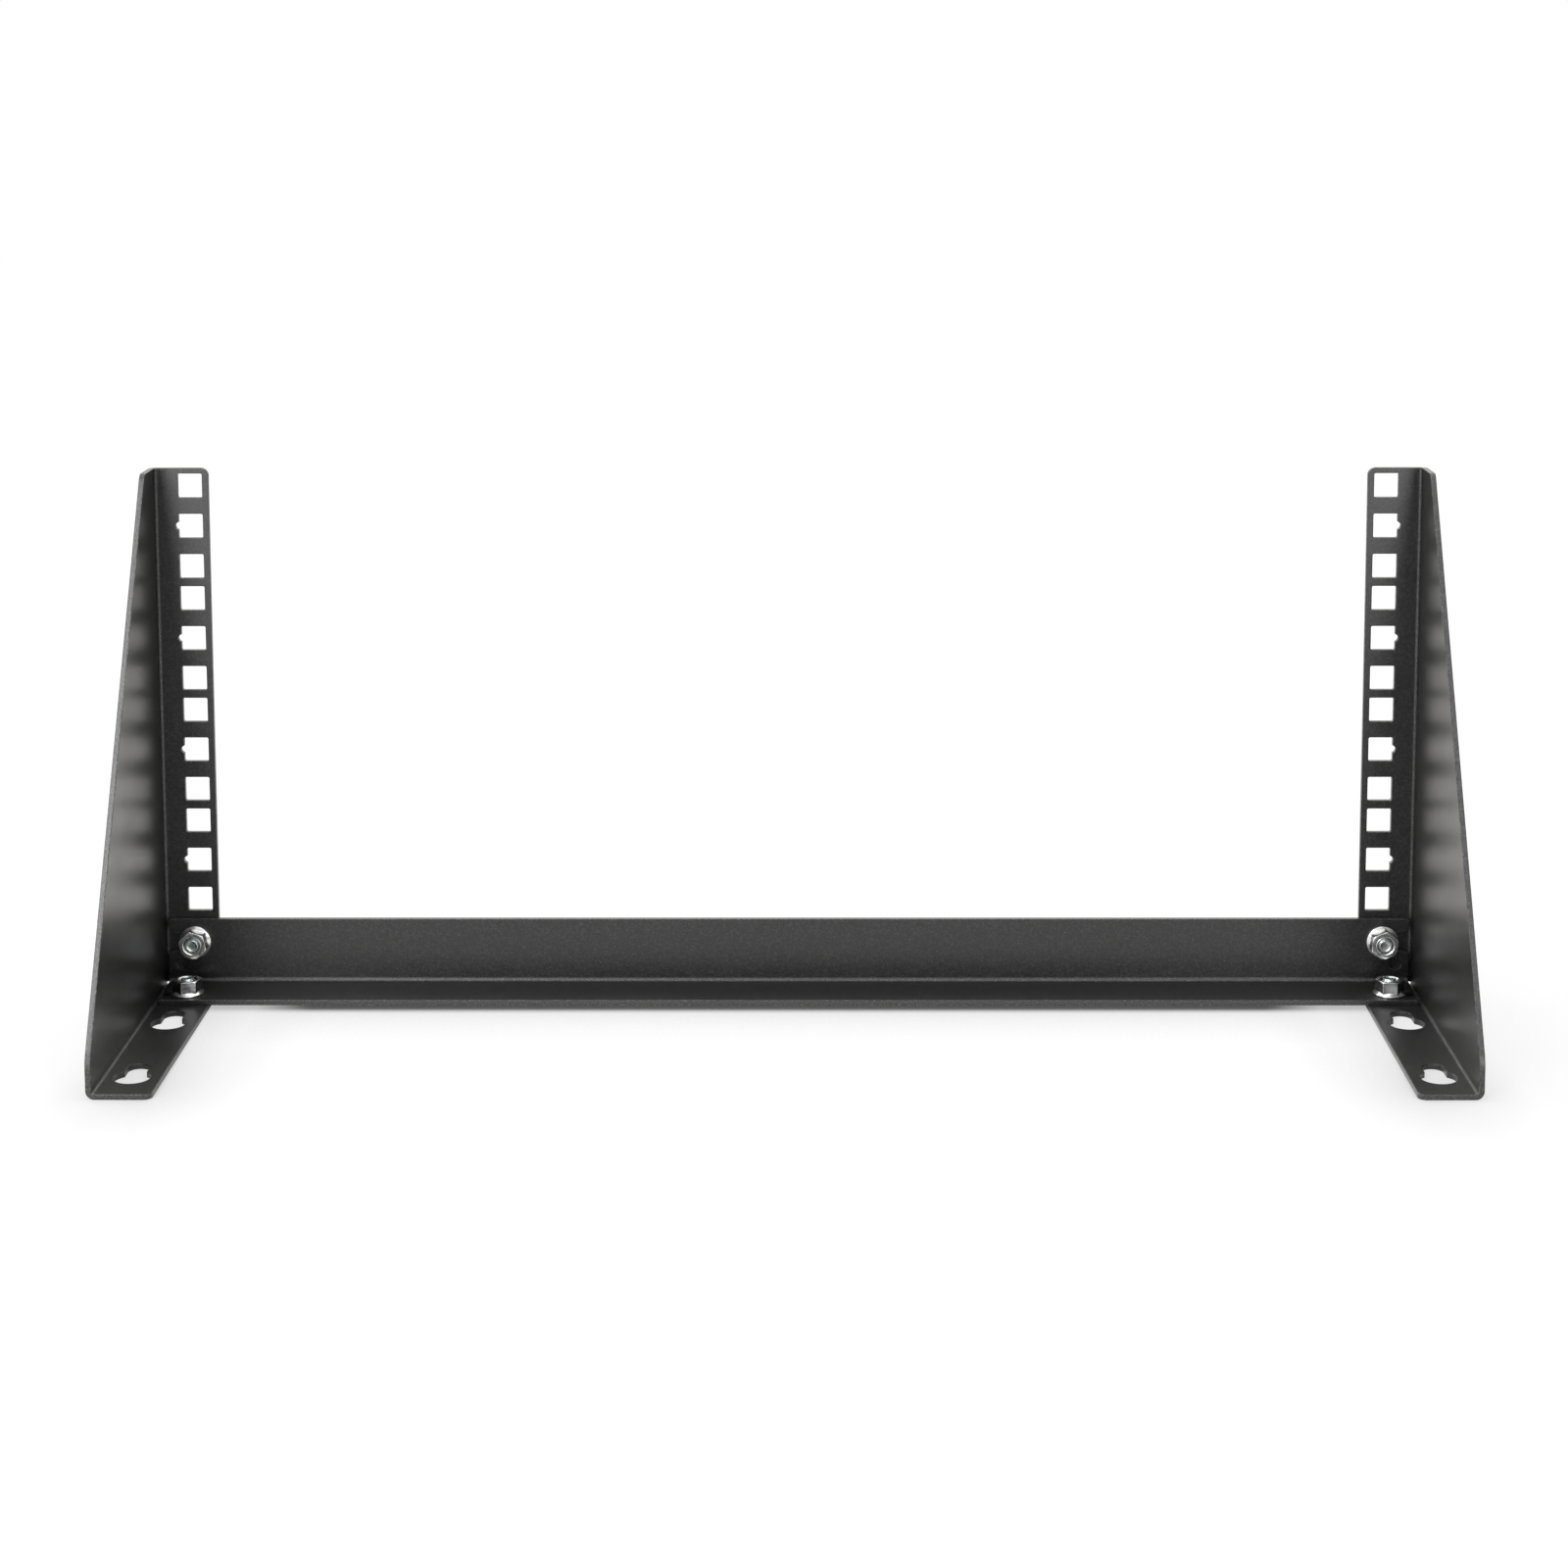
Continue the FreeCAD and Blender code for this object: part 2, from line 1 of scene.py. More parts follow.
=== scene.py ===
# %% [markdown]
# # A wall bracket frame for rack equipment
#
# The frame is two folded steel side brackets and an angle bar across their feet. All three are
# powder coated black, with a fine sandy grain. Four zinc plated flange nuts on studs hold the bar.
# The sheet metal comes ready made from the CAD model, in metres and already in its place. Blender's
# share is the finishes, the nuts and threads in full detail, the light, and the camera.

# %% Load the CAD frame
import math

import bmesh
import bpy
from mathutils import Matrix, Vector


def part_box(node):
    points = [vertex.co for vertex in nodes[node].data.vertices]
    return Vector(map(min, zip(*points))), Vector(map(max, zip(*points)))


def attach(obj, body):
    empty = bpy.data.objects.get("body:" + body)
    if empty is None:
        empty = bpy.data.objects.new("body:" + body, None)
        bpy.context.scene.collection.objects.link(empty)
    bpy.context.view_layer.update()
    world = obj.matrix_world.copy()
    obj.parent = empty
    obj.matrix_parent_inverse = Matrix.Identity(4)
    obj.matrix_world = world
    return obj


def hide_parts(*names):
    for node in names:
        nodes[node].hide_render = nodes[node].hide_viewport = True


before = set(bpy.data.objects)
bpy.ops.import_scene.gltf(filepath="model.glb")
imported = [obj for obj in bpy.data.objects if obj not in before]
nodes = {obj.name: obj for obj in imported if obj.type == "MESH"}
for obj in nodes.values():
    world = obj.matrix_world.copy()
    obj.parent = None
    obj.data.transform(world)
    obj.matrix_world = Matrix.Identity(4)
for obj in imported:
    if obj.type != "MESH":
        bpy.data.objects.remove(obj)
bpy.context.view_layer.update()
print("CAD nodes:", sorted(nodes))

# %% [markdown]
# ## Camera
#
# The photograph looks at the frame from the front and a little above, with upright lines that stay
# almost upright. A view camera does that by sliding its lens instead of tilting. Here the camera
# tilts down by seven degrees, and the lens shift does the rest. A larger shift would fit a little
# better, but it would push the frame off centre in every other view.

# %% Camera at the photograph's place
MM = 0.001
CAMERA_PLACE = Vector((14.1, -1062.4, 371.3)) * MM
CAMERA_PITCH = math.radians(6.744)
CAMERA_YAW = math.radians(-0.169)
CAMERA_ROLL = math.radians(-0.045)
SENSOR_MM, LENS_MM = 36.0, 67.06
SHIFT_ACROSS, SHIFT_DOWN = -0.02, -0.25

camera_data = bpy.data.cameras.new("photo_camera")
camera = bpy.data.objects.new("photo_camera", camera_data)
bpy.context.scene.collection.objects.link(camera)
camera_data.sensor_width = SENSOR_MM
camera_data.lens = LENS_MM
camera_data.shift_x, camera_data.shift_y = SHIFT_ACROSS, SHIFT_DOWN
camera_data.clip_start, camera_data.clip_end = 0.05, 50.0
turn = (Matrix.Rotation(-CAMERA_YAW, 4, "Z") @ Matrix.Rotation(math.pi / 2 - CAMERA_PITCH, 4, "X")
        @ Matrix.Rotation(CAMERA_ROLL, 4, "Z"))
camera.matrix_world = Matrix.Translation(CAMERA_PLACE) @ turn
bpy.context.scene.camera = camera

# %% [markdown]
# ## Shader sums as Python
#
# A finish is a small calculation on every point of a surface. In the editor each sum is a Math node
# with wires. A class that wraps an output socket and answers to `+`, `-` and `*` lets the same sum
# be written as a line of Python, which is easier to read and to change. A second class holds one
# tree of nodes and gives short names to the nodes that the materials and the world share.

# %% Signals


class Signal:
    """The output of a shader node, which Python's operators can work on."""

    def __init__(self, socket):
        self.socket = socket

    def __add__(self, other):
        return add_math("ADD", self, other)

    __radd__ = __add__

    def __mul__(self, other):
        return add_math("MULTIPLY", self, other)

    __rmul__ = __mul__

    def __sub__(self, other):
        return add_math("SUBTRACT", self, other)

    def __rsub__(self, other):
        return add_math("SUBTRACT", other, self)

    def __pow__(self, other):
        return add_math("POWER", self, other)

    def __abs__(self):
        return add_math("ABSOLUTE", self)


def add_node(tree, kind, settings=None, inputs=None, output=0):
    """Add a node: its settings first, then the value or wire of each input."""
    node = tree.nodes.new(kind)
    for name, value in (settings or {}).items():
        setattr(node, name, value)
    for name, value in (inputs or {}).items():
        if isinstance(value, Signal):
            tree.links.new(value.socket, node.inputs[name])
        else:
            node.inputs[name].default_value = value
    return Signal(node.outputs[output])


def add_math(operation, first, second=0.0):
    """Add a Math node to the tree of whichever of its two inputs is a signal."""
    signal = first if isinstance(first, Signal) else second
    return add_node(signal.socket.id_data, "ShaderNodeMath", {"operation": operation},
                    {0: first, 1: second})


def larger(first, second):
    """The larger of two signals, or of a signal and a number."""
    return add_math("MAXIMUM", first, second)


print("signals answer to + - * ** and abs")

# %% Node trees and finishes


class NodeTree:
    """A tree of shader nodes, with short names for the nodes that are used here."""

    def __init__(self, tree):
        tree.nodes.clear()
        self.tree = tree

    def node(self, kind, settings=None, inputs=None, output=0):
        return add_node(self.tree, kind, settings, inputs, output)

    def vector(self, operation, first, second=(0, 0, 0), output=0):
        return self.node("ShaderNodeVectorMath", {"operation": operation}, {0: first, 1: second},
                         output)

    def split(self, vector):
        """The three numbers of a vector, as three signals."""
        parts = self.node("ShaderNodeSeparateXYZ", None, {"Vector": vector}).socket.node
        return [Signal(socket) for socket in parts.outputs]

    def ramp(self, signal, low, high, to_low=0.0, to_high=1.0):
        """Stretch the part of a signal between low and high, and hold it outside them."""
        values = {"Value": signal, "From Min": low, "From Max": high,
                  "To Min": to_low, "To Max": to_high}
        return self.node("ShaderNodeMapRange", {"clamp": True}, values)

    def blend(self, factor, first, second):
        """Mix two colours, or two signals that carry colour."""
        settings = {"data_type": "RGBA", "blend_type": "MIX"}
        values = {"Factor": factor, 6: first, 7: second}
        return self.node("ShaderNodeMix", settings, values, output=2)

    def rays(self):
        """Two signals: one for rays from the camera, the other for rays from shiny surfaces."""
        path = self.node("ShaderNodeLightPath").socket.node
        camera_ray, glossy_ray, clear_ray = (
            Signal(path.outputs[name])
            for name in ("Is Camera Ray", "Is Glossy Ray", "Is Transmission Ray"))
        return camera_ray + clear_ray, glossy_ray

    def show(self, shader, output_kind):
        out = self.tree.nodes.new(output_kind)
        self.tree.links.new(shader.socket, out.inputs["Surface"])


class Finish(NodeTree):
    """A material whose patterns lie in the object's own coordinates."""

    def __init__(self, name):
        self.material = bpy.data.materials.new(name)
        self.material.use_nodes = True
        super().__init__(self.material.node_tree)
        self.place = self.node("ShaderNodeTexCoord", output="Object")

    def noise(self, size, detail=2.0, roughness=0.5):
        """Cloudy noise whose blotches are about as wide as size, in metres."""
        values = {"Vector": self.place, "Scale": 1 / size, "Detail": detail, "Roughness": roughness}
        return self.node("ShaderNodeTexNoise", None, values, "Fac")

    def bump(self, height, distance, strength, normal):
        values = {"Height": height, "Distance": distance, "Strength": strength, "Normal": normal}
        return self.node("ShaderNodeBump", None, values)

    def edge(self, radius, samples, low, high):
        """A normal that rounds the edges, the face's own, and a mask that is one on edges."""
        rounded = self.node("ShaderNodeBevel", {"samples": samples}, {"Radius": radius})
        flat = self.node("ShaderNodeNewGeometry", output="Normal")
        likeness = self.vector("DOT_PRODUCT", rounded, flat, output="Value")
        return rounded, flat, self.ramp(likeness, low, high)

    def finish(self, shader):
        self.show(shader, "ShaderNodeOutputMaterial")
        return self.material


print("finishes ready")

# %% [markdown]
# ## Powder coat
#
# Powder paint melts into a skin about a tenth of a millimetre thick that keeps a sandy grain. It is
# nearly black, and what it shows is mostly a broad, dull reflection. The paint holds worse on the
# edges that were cut, and the steel is rough there: those narrow faces are lighter, and their small
# bright grains are painted highlights, glints of the lamps painted into the colour. Edges and folds
# get sandy light grey grains: on the edges partly thin paint and partly painted highlight, on the
# folds painted highlight. The shader knows a cut face by its direction and its place, because each
# of the sheet's broad faces looks along one axis. A Bevel node rounds the edges in the shading
# without a change to the CAD mesh, and also tells where they are.

# %% Where the sheet is cut or folded
# A face that looks along an axis is a broad one if it lies beyond these places.
PLATE_X, RAIL_Y, FLANGE_Z = 245.1 * MM, 56.9 * MM, 5.6 * MM
# The wall flange's inner edge, its front edge and its upper face.
FLANGE_EDGE_X, FLANGE_FRONT_Y, FLANGE_TOP_Z = 225.0 * MM, -62.5 * MM, 2.0 * MM
# Inside a keyhole the wall and its edges get less of the lighter cut colour and edge grey:
# painted shade for the recess.
KEYHOLE_WALL_SHADE, KEYHOLE_EDGE_SHADE = 0.75, 0.6


def cut_faces_and_folds(coat, flat):
    """Three masks: on the sheet's cut faces, on its folds, and near the feet's keyholes."""
    x, y, z = coat.split(coat.place)
    side, front, up = coat.split(coat.vector("ABSOLUTE", flat))
    plate = side * coat.ramp(abs(x), PLATE_X - 0.1 * MM, PLATE_X)
    rail = front * coat.ramp(y, RAIL_Y - 0.1 * MM, RAIL_Y)
    flange = up * coat.ramp(z, FLANGE_Z + 0.1 * MM, FLANGE_Z)
    broad = larger(larger(plate, rail), flange)
    keyhole = (coat.ramp(abs(x), FLANGE_EDGE_X + 0.6 * MM, FLANGE_EDGE_X + 1.4 * MM)
               * coat.ramp(y, FLANGE_FRONT_Y + 0.5 * MM, FLANGE_FRONT_Y + 1.5 * MM)
               * coat.ramp(z, FLANGE_TOP_Z + 2.0 * MM, FLANGE_TOP_Z + 1.0 * MM))
    cut = coat.ramp(broad, 0.65, 0.45) * (1 - keyhole * KEYHOLE_WALL_SHADE)
    fold = coat.ramp(broad, 0.99, 0.94) * coat.ramp(broad, 0.45, 0.65)
    return cut, fold, keyhole


print("cut faces lie inside x %.1f, y %.1f and above z %.1f mm"
      % tuple(place / MM for place in (PLATE_X, RAIL_Y, FLANGE_Z)))

# %% Powder coat material
COAT_DARK = (0.003, 0.003, 0.003, 1.0)
COAT_LIGHT = (0.030, 0.030, 0.0295, 1.0)
CUT_DARK = (0.010, 0.010, 0.010, 1.0)
CUT_LIGHT_AND_GLINTS = (0.072, 0.072, 0.070, 1.0)
EDGE_WEAR_AND_HIGHLIGHT_GREY = (0.240, 0.240, 0.236, 1.0)
SPECK_GREY = (0.075, 0.075, 0.072, 1.0)
COAT_EDGE_RADIUS = 0.6 * MM
GRAIN_SIZE, SAND_SIZE, SPECK_SIZE, CLOUD_SIZE = 0.7 * MM, 0.60 * MM, 1.1 * MM, 24 * MM
COAT_SMOOTH, COAT_ROUGH, COAT_IOR = 0.30, 0.38, 1.59
SKIN_DEPTH = 0.08 * MM


def make_powder_coat():
    coat = Finish("black_powder_coat")
    rounded, flat, edge = coat.edge(COAT_EDGE_RADIUS, 4, 0.998, 0.90)
    cut, fold, keyhole = cut_faces_and_folds(coat, flat)
    # Edges in a keyhole get less edge grey: painted shade for the recess.
    edge = edge * (1 - keyhole * KEYHOLE_EDGE_SHADE)
    grain = coat.noise(GRAIN_SIZE, roughness=0.6)
    sand = coat.noise(SAND_SIZE, roughness=0.6)
    cloud = coat.noise(CLOUD_SIZE)
    specks = coat.ramp(coat.noise(SPECK_SIZE, detail=0.0), 0.84, 0.87)

    colour = coat.blend(coat.ramp(grain, 0.45, 0.75), COAT_DARK, COAT_LIGHT)
    colour = coat.blend(specks, colour, SPECK_GREY)
    # Cut faces: rough steel, lighter, with bright sand grains that are painted glints of the lamps.
    rough_steel_and_glints = coat.blend(coat.ramp(sand, 0.42, 0.66), CUT_DARK, CUT_LIGHT_AND_GLINTS)
    colour = coat.blend(cut, colour, rough_steel_and_glints)
    # Painted highlight on edges and folds: light sandy grey, on the edges partly thin paint too.
    colour = coat.blend((edge + fold * 0.3) * coat.ramp(sand, 0.52, 0.64), colour, EDGE_WEAR_AND_HIGHLIGHT_GREY)
    uneven = coat.ramp(cloud * 0.5 + grain * 0.5, 0.3, 0.7, COAT_SMOOTH, COAT_ROUGH)
    skin = grain * 0.6 + sand * (0.4 + fold * 0.8 + cut * 0.4)
    normal = coat.bump(skin, SKIN_DEPTH, 0.5 + cut * 0.5 + fold * 0.5, rounded)
    shader = coat.node("ShaderNodeBsdfPrincipled", None,
                       {"Base Color": colour, "Roughness": uneven + fold * 0.06 - cut * 0.04,
                        "Normal": normal, "IOR": COAT_IOR})
    return coat.finish(shader)


powder_coat = make_powder_coat()
for name in ("left_side_bracket", "right_side_bracket", "cross_bar"):
    nodes[name].data.materials.clear()
    nodes[name].data.materials.append(powder_coat)
print("powder coat on the brackets and the bar")

# %% [markdown]
# ## Zinc
#
# Zinc plating is bright metal with a faint cold tint that drifts from bluish to straw. It is
# smoother than the coat, so it mirrors the white studio and the black sheet beside it. A little
# bump from handling keeps the mirror from looking like glass. On a nut the six sides are painted
# darker, in patches: painted shade that stands in for the dark steel they mirror. Every edge is
# painted bright, a painted highlight that stands in for the lamps' glint on its rounding. The nut's
# mesh has an attribute that tells the sides, and the Bevel node tells the edges.

# %% Zinc material
NUT_TINTS = ((0.66, 0.66, 0.67, 1.0), (0.76, 0.75, 0.72, 1.0))
THREAD_TINTS = ((0.52, 0.62, 0.61, 1.0), (0.68, 0.72, 0.70, 1.0))
PAINTED_SIDE_SHADE = (0.30, 0.30, 0.31, 1.0)
EDGE_HIGHLIGHT_TINT = (0.95, 0.95, 0.94, 1.0)
ZINC_EDGE_RADIUS = 0.22 * MM
DRIFT_SIZE, WEAR_SIZE, WEAR_DEPTH = 5 * MM, 1.4 * MM, 0.008 * MM
SIDE_MARK = "hexagon_side"


def make_zinc(name, tints, smooth, rough):
    zinc = Finish(name)
    rounded, _, edge = zinc.edge(ZINC_EDGE_RADIUS, 8, 0.995, 0.93)
    side = zinc.node("ShaderNodeAttribute", {"attribute_name": SIDE_MARK}, None, "Fac")
    drift = zinc.noise(DRIFT_SIZE)
    wear = zinc.noise(WEAR_SIZE)
    colour = zinc.blend(zinc.ramp(drift, 0.35, 0.7), *tints)
    # Painted shade: the six sides darkened, in patches, for the dark steel they mirror.
    colour = zinc.blend(side * zinc.ramp(wear, 0.30, 0.62, 1.0, 0.55), colour, PAINTED_SIDE_SHADE)
    # Painted highlight: every edge made bright, for the lamps' glint on its rounding.
    colour = zinc.blend(edge * 0.9, colour, EDGE_HIGHLIGHT_TINT)
    roughness = zinc.ramp(wear, 0.3, 0.7, smooth, rough)
    normal = zinc.bump(wear, WEAR_DEPTH, 0.6, rounded)
    shader = zinc.node("ShaderNodeBsdfPrincipled", None,
                       {"Base Color": colour, "Roughness": roughness, "Normal": normal,
                        "Metallic": 1.0})
    return zinc.finish(shader)


nut_zinc = make_zinc("bright_zinc", NUT_TINTS, 0.12, 0.24)
thread_zinc = make_zinc("thread_zinc", THREAD_TINTS, 0.18, 0.30)
print("zinc ready")

# %% [markdown]
# ## Flange nuts
#
# A flange nut is a hexagon that grows out of a washer. Its top corners are turned off by a cone,
# which leaves the curved edges that every nut has. The way to get those edges is the factory's:
# make the hexagon, make the turned shape, and keep only what is inside both. A Boolean modifier
# does that. It can leave points a micron apart where curves cross, so each result is welded. Each
# nut is made standing on its own axis, in millimetres, and then put in its place in the mesh.

# %% Tools for turned and cut shapes
TURNING_STEPS = 72
SEAM_WELD, BOOLEAN_WELD = 0.0005, 0.003


def turned(profile):
    """Spin an outline of radius and height pairs, in millimetres, into a closed shape."""
    mesh = bmesh.new()
    points = [mesh.verts.new((radius, 0.0, height)) for radius, height in profile]
    edges = [mesh.edges.new(pair) for pair in zip(points, points[1:])]
    bmesh.ops.spin(mesh, geom=points + edges, cent=(0, 0, 0), axis=(0, 0, 1), angle=2 * math.pi,
                   steps=TURNING_STEPS, use_merge=True, use_duplicate=False)
    bmesh.ops.remove_doubles(mesh, verts=mesh.verts, dist=SEAM_WELD)
    bmesh.ops.recalc_face_normals(mesh, faces=mesh.faces)
    return mesh


def object_from(mesh, name):
    data = bpy.data.meshes.new(name)
    mesh.to_mesh(data)
    mesh.free()
    made = bpy.data.objects.new(name, data)
    bpy.context.scene.collection.objects.link(made)
    return made


def welded(data):
    """Join the points of a mesh that a Boolean left almost on each other."""
    mesh = bmesh.new()
    mesh.from_mesh(data)
    bmesh.ops.remove_doubles(mesh, verts=mesh.verts, dist=BOOLEAN_WELD)
    bmesh.ops.dissolve_degenerate(mesh, edges=mesh.edges, dist=BOOLEAN_WELD)
    mesh.to_mesh(data)
    mesh.free()
    return data


def carve(body, tool, operation):
    """Apply one Boolean of a tool to a body, and throw the tool away."""
    modifier = body.modifiers.new("carve", "BOOLEAN")
    modifier.operation = operation
    modifier.solver = "EXACT"
    modifier.object = tool
    bpy.context.view_layer.update()
    carved = body.evaluated_get(bpy.context.evaluated_depsgraph_get())
    data = bpy.data.meshes.new_from_object(carved)
    body.modifiers.clear()
    body.data = welded(data)
    bpy.data.objects.remove(tool)
    return body


print("turning and carving tools ready")

# %% The nut on its own axis
ACROSS_FLATS, NUT_HEIGHT, CORNER_BEVEL = 10.0, 6.0, 0.28
FLANGE_RADIUS, FLANGE_HEIGHT, BORE_RADIUS = 6.4, 1.7, 3.0


def make_hexagon():
    mesh = bmesh.new()
    bmesh.ops.create_circle(mesh, cap_ends=True, segments=6, radius=ACROSS_FLATS / math.sqrt(3),
                            matrix=Matrix.Rotation(math.pi / 6, 4, "Z"))
    top = bmesh.ops.extrude_face_region(mesh, geom=mesh.faces[:])["geom"]
    lifted = [v for v in top if isinstance(v, bmesh.types.BMVert)]
    bmesh.ops.translate(mesh, verts=lifted, vec=(0, 0, NUT_HEIGHT))
    upright = [e for e in mesh.edges if abs(e.verts[0].co.z - e.verts[1].co.z) > NUT_HEIGHT / 2]
    bmesh.ops.bevel(mesh, geom=upright, offset=CORNER_BEVEL, segments=3, profile=0.5,
                    affect="EDGES", material=-1)
    bmesh.ops.recalc_face_normals(mesh, faces=mesh.faces)
    return object_from(mesh, "hexagon")


def mark_sides(data):
    """Give the nut's mesh an attribute that is one on the six sides of the hexagon."""
    mark = data.attributes.new(SIDE_MARK, "FLOAT", "FACE")
    for face in data.polygons:
        upright = abs(face.normal.z) < 0.1
        outside = face.center.xy.length > BORE_RADIUS + 0.9 and face.center.z > FLANGE_HEIGHT
        mark.data[face.index].value = 1.0 if upright and outside else 0.0


def make_nut(name):
    nut = make_hexagon()
    nut.name = name
    crown = turned([(0, 0.3), (5.9, 0.3), (5.9, 5.68), (5.7, 5.8), (5.45, 5.91), (5.2, 5.98),
                    (5.05, 6.0), (0, 6.0)])
    carve(nut, object_from(crown, "crown"), "INTERSECT")
    flange = turned([(0, 0), (6.1, 0), (6.32, 0.1), (FLANGE_RADIUS, 0.32), (FLANGE_RADIUS, 0.66),
                     (6.3, 0.86), (6.05, 1.0), (5.45, 1.4), (4.9, 1.75), (4.3, 2.1), (0, 2.1)])
    carve(nut, object_from(flange, "flange"), "UNION")
    bore = turned([(0, -1), (3.9, -1), (BORE_RADIUS + 0.45, 0.0), (BORE_RADIUS, 0.45),
                   (BORE_RADIUS, NUT_HEIGHT - 0.7), (BORE_RADIUS + 0.6, NUT_HEIGHT - 0.08),
                   (BORE_RADIUS + 0.72, NUT_HEIGHT), (3.9, NUT_HEIGHT + 1), (0, NUT_HEIGHT + 1)])
    carve(nut, object_from(bore, "bore"), "DIFFERENCE")
    mark_sides(nut.data)
    return nut


sample_nut = make_nut("sample_nut")
print("a nut has %d faces" % len(sample_nut.data.polygons))

# %% [markdown]
# ## Studs
#
# A rolled thread is one ridge that climbs round the shank. Spinning a single tooth of the profile
# while it rises by one pitch each turn makes exactly that, and the turns join where they touch. It
# starts below the stud and ends above it, and both ends are cut off square and filled. Rolling also
# leaves the end of a stud slightly hollow, which gives it a round bright mark.

# %% The stud on its own axis
PITCH, CREST_RADIUS, ROOT_RADIUS = 1.0, 2.94, 2.42
STEPS_PER_TURN, SPARE_TURNS = 40, 4
STUD_LENGTH, SPARE_LENGTH = 8.4, 0.2
THREAD_WELD = 0.002


def make_thread():
    mesh = bmesh.new()
    tooth = ((ROOT_RADIUS, 0.0), (ROOT_RADIUS, 0.12), (CREST_RADIUS, 0.46), (CREST_RADIUS, 0.62),
             (ROOT_RADIUS, PITCH))
    start = -PITCH * SPARE_TURNS / 2
    points = [mesh.verts.new((radius, 0.0, start + height)) for radius, height in tooth]
    edges = [mesh.edges.new(pair) for pair in zip(points, points[1:])]
    turns = int(STUD_LENGTH / PITCH) + SPARE_TURNS
    bmesh.ops.spin(mesh, geom=points + edges, cent=(0, 0, 0), axis=(0, 0, 1),
                   dvec=(0, 0, PITCH / STEPS_PER_TURN), angle=2 * math.pi * turns,
                   steps=turns * STEPS_PER_TURN, use_merge=False, use_duplicate=False)
    bmesh.ops.remove_doubles(mesh, verts=mesh.verts, dist=THREAD_WELD)
    for height, side in ((0.0, -1), (STUD_LENGTH + SPARE_LENGTH, 1)):
        everything = mesh.verts[:] + mesh.edges[:] + mesh.faces[:]
        bmesh.ops.bisect_plane(mesh, geom=everything, plane_co=(0, 0, height),
                               plane_no=(0, 0, side), clear_outer=True)
    bmesh.ops.holes_fill(mesh, edges=[e for e in mesh.edges if e.is_boundary])
    bmesh.ops.recalc_face_normals(mesh, faces=mesh.faces)
    return mesh


def make_stud(name):
    stud = object_from(make_thread(), name)
    tip = turned([(0, -1), (3.6, -1), (3.6, STUD_LENGTH - 2.6), (2.36, STUD_LENGTH - 0.3),
                  (2.27, STUD_LENGTH - 0.1), (2.12, STUD_LENGTH), (1.96, STUD_LENGTH - 0.02),
                  (1.84, STUD_LENGTH - 0.12), (1.74, STUD_LENGTH - 0.24), (1.5, STUD_LENGTH - 0.3),
                  (0.8, STUD_LENGTH - 0.34), (0, STUD_LENGTH - 0.35)])
    return carve(stud, object_from(tip, "tip"), "INTERSECT")


sample_stud = make_stud("sample_stud")
print("a stud has %d faces" % len(sample_stud.data.polygons))

# %% [markdown]
# ## Nuts and studs in place
#
# One nut and one stud are enough: the others are copies of their meshes. The CAD box of each node
# gives the place. Two nuts point to the front, two point up, and each hexagon has stopped at its
# own angle, as nuts do.

# %% Put the fasteners where the CAD has them
HEXAGON_TURNS = {"upper_left": 43, "upper_right": 23, "lower_left": 16, "lower_right": 54}
THREAD_TURNS = {"upper_left": 10, "upper_right": 200, "lower_left": 95, "lower_right": 290}
SHARP_ANGLE = math.radians(25)


def place_copy(source, name, node, turn_degrees, material):
    """Copy a fastener's mesh to its CAD node's place, and let it stand for that node."""
    low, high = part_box(node)
    middle = (low + high) / 2
    if node.startswith("upper"):
        foot = Vector((middle.x, high.y, middle.z))
        stand = Matrix.Rotation(math.pi / 2, 4, "X")
    else:
        foot = Vector((middle.x, middle.y, low.z))
        stand = Matrix.Identity(4)
    data = source.data.copy()
    spin = Matrix.Rotation(math.radians(turn_degrees), 4, "Z")
    data.transform(Matrix.Translation(foot) @ stand @ spin @ Matrix.Scale(MM, 4))
    data.materials.clear()
    data.materials.append(material)
    data.shade_smooth()
    data.set_sharp_from_angle(angle=SHARP_ANGLE)
    data.name = name
    piece = bpy.data.objects.new(name, data)
    bpy.context.scene.collection.objects.link(piece)
    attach(piece, "root")
    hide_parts(node)


for corner, angle in HEXAGON_TURNS.items():
    place_copy(sample_nut, corner + "_flange_nut", corner + "_nut", angle, nut_zinc)
    place_copy(sample_stud, corner + "_threaded_stud", corner + "_stud", THREAD_TURNS[corner],
               thread_zinc)
for spare in (sample_nut, sample_stud):
    bpy.data.objects.remove(spare)
print("four nuts and four studs placed")

# %% [markdown]
# ## Floor
#
# The frame stands on white ground that shows nothing but a pale shadow close round the steel. The
# floor is a matt white, lit by the lamps, and that is how the frame sees it, with a warm glow that
# its plates mirror, mostly from behind. For the camera most of the white is a glow instead, because
# the photograph's white is beyond what a lamp-lit floor shows. That pale shadow is painted: the glow
# fades where steel is near and closes the floor in, which an Ambient Occlusion node measures, and a
# little in front of the feet. It fades most between the brackets, less under their flanges and least
# beside them.

# %% How bright the camera sees the floor
GLOW_NEAR, GLOW_FAR, GLOW_LEAST = 0.945, 1.0, 0.08
SHADE_REACH, SHADE_POWER = 65 * MM, 1.3
SHADE_AT_FEET, SHADE_BESIDE, SHADE_IN_HOLES, SHADE_BEFORE_FEET = 0.5, 0.25, 0.3, 0.12
